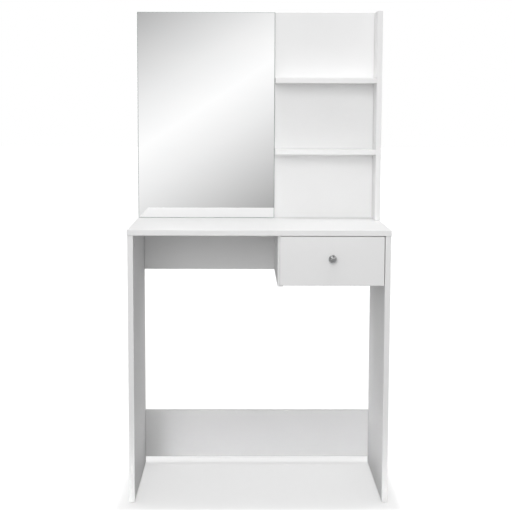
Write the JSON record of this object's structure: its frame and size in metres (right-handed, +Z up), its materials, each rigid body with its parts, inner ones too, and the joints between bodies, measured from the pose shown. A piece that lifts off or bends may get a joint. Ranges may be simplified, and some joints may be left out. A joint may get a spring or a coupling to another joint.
{
  "type": "vanity table with mirror",
  "caption": "White board-built vanity table with a tall frameless mirror, open shelves beside it and a drawer with a round knob on roller runners.",
  "frame": {"origin": "on the floor, under the centre of the whole object's bounding box, knob included", "axes": "+X to the right of a person who faces the table, -Y towards that person (the drawer opens along -Y), +Z up"},
  "size_m": [0.75, 0.422, 1.43],
  "materials": {
    "white_board": "white melamine-faced chipboard, satin, with matching edge strips",
    "drawer_board": "white foil-wrapped fibreboard, matt",
    "mirror_glass": "silvered float glass with a ground edge",
    "mounting_tape": "grey double-sided foam tape",
    "chrome": "polished",
    "zinc_steel": "zinc plated",
    "enamelled_steel": "white epoxy coating",
    "nylon": "natural white",
    "beech": "raw fluted dowel"
  },
  "bodies": {
    "carcass": {"table_top": "white_board", "side_panel_left": "white_board", "side_panel_right": "white_board", "upper_rear_rail": "white_board", "lower_rear_rail": "white_board", "drawer_divider": "white_board", "back_panel": "white_board", "mirror": "mirror_glass", "mirror_tape_left": "mounting_tape", "mirror_tape_right": "mounting_tape", "shelf_upright": "white_board", "shelf_lower": "white_board", "shelf_upper": "white_board", "glide_front_left": "nylon", "glide_rear_left": "nylon", "glide_front_right": "nylon", "glide_rear_right": "nylon", "top_front_left_cam_lock": "zinc_steel", "top_front_left_cam_bolt": "zinc_steel", "top_rear_left_cam_lock": "zinc_steel", "top_rear_left_cam_bolt": "zinc_steel", "top_front_right_cam_lock": "zinc_steel", "top_front_right_cam_bolt": "zinc_steel", "top_rear_right_cam_lock": "zinc_steel", "top_rear_right_cam_bolt": "zinc_steel", "upper_rail_left_cam_lock": "zinc_steel", "upper_rail_left_cam_bolt": "zinc_steel", "upper_rail_right_cam_lock": "zinc_steel", "upper_rail_right_cam_bolt": "zinc_steel", "lower_rail_left_cam_lock": "zinc_steel", "lower_rail_left_cam_bolt": "zinc_steel", "lower_rail_right_cam_lock": "zinc_steel", "lower_rail_right_cam_bolt": "zinc_steel", "panel_screw_left": "zinc_steel", "panel_screw_right": "zinc_steel", "upright_screw": "zinc_steel", "shelf_lower_rear_screw_left": "zinc_steel", "shelf_lower_rear_screw_right": "zinc_steel", "shelf_lower_end_screw": "zinc_steel", "shelf_upper_rear_screw_left": "zinc_steel", "shelf_upper_rear_screw_right": "zinc_steel", "shelf_upper_end_screw": "zinc_steel", "divider_screw": "zinc_steel", "divider_dowel": "beech", "cabinet_runner_left": "enamelled_steel", "cabinet_runner_right": "enamelled_steel"},
    "drawer": {"drawer_front": "white_board", "drawer_side_left": "drawer_board", "drawer_side_right": "drawer_board", "drawer_back": "drawer_board", "drawer_bottom": "drawer_board", "drawer_knob": "chrome", "knob_screw": "zinc_steel", "drawer_runner_left": "enamelled_steel", "drawer_runner_right": "enamelled_steel"},
    "cabinet_roller_left": {"cabinet_roller_left": "nylon"},
    "cabinet_roller_right": {"cabinet_roller_right": "nylon"},
    "drawer_roller_left": {"drawer_roller_left": "nylon"},
    "drawer_roller_right": {"drawer_roller_right": "nylon"}
  },
  "joints": [
    {"name": "drawer_slide", "type": "slide", "parent": "carcass", "child": "drawer", "axis": [0, -1, 0], "range_m": [0, 0.26]},
    {"name": "cabinet_roller_left_turn", "type": "hinge", "parent": "carcass", "child": "cabinet_roller_left", "pos_m": [0.075, -0.156, 0.656], "axis": [1, 0, 0], "continuous": true},
    {"name": "cabinet_roller_right_turn", "type": "hinge", "parent": "carcass", "child": "cabinet_roller_right", "pos_m": [0.351, -0.156, 0.656], "axis": [1, 0, 0], "continuous": true},
    {"name": "drawer_roller_left_turn", "type": "hinge", "parent": "drawer", "child": "drawer_roller_left", "pos_m": [0.075, 0.162, 0.656], "axis": [1, 0, 0], "continuous": true},
    {"name": "drawer_roller_right_turn", "type": "hinge", "parent": "drawer", "child": "drawer_roller_right", "pos_m": [0.351, 0.162, 0.656], "axis": [1, 0, 0], "continuous": true}
  ],
  "couplings": [
    {"joint": "cabinet_roller_left_turn", "follows": "drawer_slide", "rad_per_m": 111.11},
    {"joint": "cabinet_roller_right_turn", "follows": "drawer_slide", "rad_per_m": 111.11},
    {"joint": "drawer_roller_left_turn", "follows": "drawer_slide", "rad_per_m": 111.11},
    {"joint": "drawer_roller_right_turn", "follows": "drawer_slide", "rad_per_m": 111.11}
  ]
}
